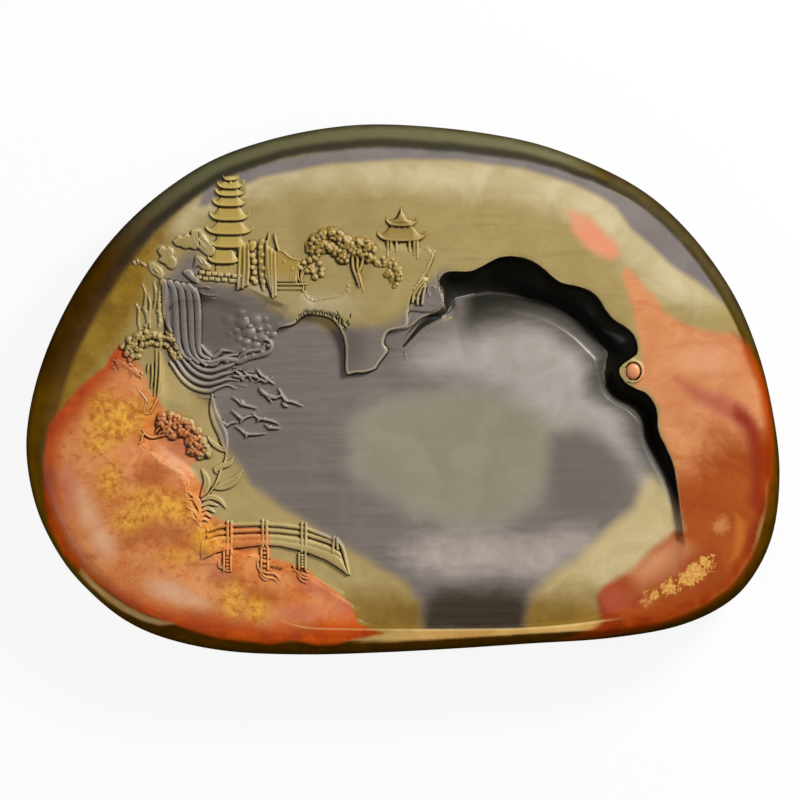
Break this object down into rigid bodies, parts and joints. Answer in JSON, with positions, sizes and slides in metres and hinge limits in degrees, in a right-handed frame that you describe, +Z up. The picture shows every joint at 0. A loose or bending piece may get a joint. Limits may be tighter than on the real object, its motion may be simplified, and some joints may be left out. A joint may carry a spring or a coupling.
{
  "type": "ink stone",
  "caption": "Free-form carved ink stone: a flat rim round a sunk grinding floor and a crescent ink well, with a landscape of pagoda, pines, waterfall and bridge in low relief.",
  "frame": {"origin": "centre of the stone's outline, on the surface that it rests on", "axes": "+X along the length, with the well to the right; +Y across the width, away from the user; +Z up"},
  "size_m": [0.2601, 0.1831, 0.032],
  "materials": {
    "slab_stone": "smooth, oiled and partly polished",
    "olive_stone": "carved and lightly polished",
    "orange_stone": "polished",
    "grey_stone": "fine matt, carved"
  },
  "bodies": {
    "root": {"stone_slab": "slab_stone", "headland": "olive_stone", "headland_shelf": "olive_stone", "boulder_bank": "orange_stone", "pagoda": "olive_stone", "stone_terrace": "olive_stone", "gate_hall": "olive_stone", "small_tree": "olive_stone", "headland_pine": "olive_stone", "pavilion": "olive_stone", "scroll_stones": "olive_stone", "peak_rocks": "olive_stone", "cliff_ledges": "olive_stone", "waterfall": "grey_stone", "shore_rocks": "grey_stone", "stream_terraces": "grey_stone", "cliff_pine": "orange_stone", "bank_pine": "orange_stone", "bamboo": "grey_stone", "orchid_grass": "olive_stone", "flying_birds": "grey_stone", "bridge_deck": "orange_stone", "bridge_railing": "olive_stone", "bridge_piers": "orange_stone", "pier_grass": "orange_stone", "pearl": "orange_stone", "pearl_curl": "orange_stone"}
  },
  "joints": []
}
